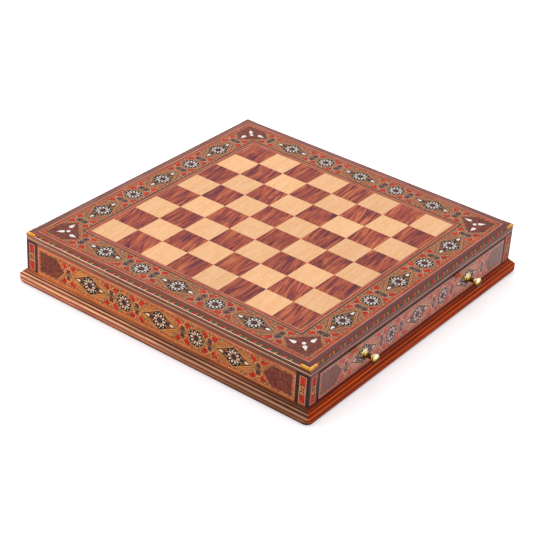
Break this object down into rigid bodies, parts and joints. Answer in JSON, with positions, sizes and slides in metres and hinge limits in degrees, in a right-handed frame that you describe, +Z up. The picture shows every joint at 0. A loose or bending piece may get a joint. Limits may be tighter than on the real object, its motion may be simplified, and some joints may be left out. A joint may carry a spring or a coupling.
{
  "type": "chess box with drawers",
  "caption": "Square chess board on a shallow marquetry box with a reeded plinth, and shallow drawers with turned brass knobs at the front and back.",
  "frame": {"origin": "middle of the underside, halfway between the drawers' knobs", "axes": "+Z up, -Y towards the front drawer, +X to the right of someone who faces the front drawer"},
  "size_m": [0.4284, 0.448, 0.0664],
  "materials": {
    "plinth_wood": "high gloss lacquer over reddish brown stained wood",
    "carcass_wood": "plain sealed softwood and ply",
    "drawer_wood": "plain sealed wood",
    "walnut_edging": "high gloss lacquer over dark walnut",
    "wall_skin": "high gloss lacquer over brown veneer",
    "border_veneer": "high gloss lacquer over brown veneer",
    "light_veneer": "high gloss lacquer over pale figured veneer",
    "dark_veneer": "high gloss lacquer over red brown veneer",
    "cream_stringing": "high gloss lacquer over pale stringing",
    "mosaic_stringing": "high gloss lacquer over a mosaic of green, peach and red slips",
    "rope_stringing": "high gloss lacquer over slanted slips of red, green, orange and black",
    "burr_veneer": "high gloss lacquer over walnut burr",
    "medallion_veneer": "high gloss lacquer over dark veneer",
    "ebony": "high gloss lacquer over black wood",
    "pearl": "pearly, under gloss lacquer",
    "red_veneer": "high gloss lacquer over red dyed wood",
    "brass_fittings": "polished",
    "felt_lining": "short pile felt"
  },
  "bodies": {
    "case": {"plinth_front": "plinth_wood", "plinth_back": "plinth_wood", "plinth_left": "plinth_wood", "plinth_right": "plinth_wood", "base_panel": "carcass_wood", "wall_left": "carcass_wood", "wall_right": "carcass_wood", "wall_veneers": "wall_skin", "stile_facings": "walnut_edging", "rail_front": "walnut_edging", "rail_back": "walnut_edging", "centre_partition": "carcass_wood", "drawer_kickers": "carcass_wood", "board_core": "carcass_wood", "edging_front": "walnut_edging", "edging_back": "walnut_edging", "edging_left": "walnut_edging", "edging_right": "walnut_edging", "rope_banding": "rope_stringing", "corner_caps": "brass_fittings", "light_squares": "light_veneer", "dark_squares": "dark_veneer", "border_ground": "border_veneer", "cream_lines": "cream_stringing", "mosaic_bands": "mosaic_stringing", "walnut_blocks": "burr_veneer", "medallions": "medallion_veneer", "rosette_discs": "ebony", "pearl_inlays": "pearl", "red_inlays": "red_veneer"},
    "front_drawer": {"front_drawer_face": "carcass_wood", "front_drawer_left_side": "drawer_wood", "front_drawer_right_side": "drawer_wood", "front_drawer_rear": "drawer_wood", "front_drawer_bottom": "drawer_wood", "front_drawer_lining": "felt_lining", "front_drawer_knobs": "brass_fittings", "front_drawer_screws": "brass_fittings", "front_drawer_veneer": "wall_skin", "front_drawer_blocks": "burr_veneer", "front_drawer_medallions": "medallion_veneer", "front_drawer_rosettes": "ebony", "front_drawer_pearl": "pearl", "front_drawer_red": "red_veneer", "front_drawer_mosaic": "mosaic_stringing"},
    "back_drawer": {"back_drawer_face": "carcass_wood", "back_drawer_left_side": "drawer_wood", "back_drawer_right_side": "drawer_wood", "back_drawer_rear": "drawer_wood", "back_drawer_bottom": "drawer_wood", "back_drawer_lining": "felt_lining", "back_drawer_knobs": "brass_fittings", "back_drawer_screws": "brass_fittings", "back_drawer_veneer": "wall_skin", "back_drawer_blocks": "burr_veneer", "back_drawer_medallions": "medallion_veneer", "back_drawer_rosettes": "ebony", "back_drawer_pearl": "pearl", "back_drawer_red": "red_veneer", "back_drawer_mosaic": "mosaic_stringing"}
  },
  "joints": [
    {"name": "front_drawer_slide", "type": "slide", "parent": "case", "child": "front_drawer", "axis": [0, -1, 0], "range_m": [0, 0.15]},
    {"name": "back_drawer_slide", "type": "slide", "parent": "case", "child": "back_drawer", "axis": [0, 1, 0], "range_m": [0, 0.15]}
  ]
}
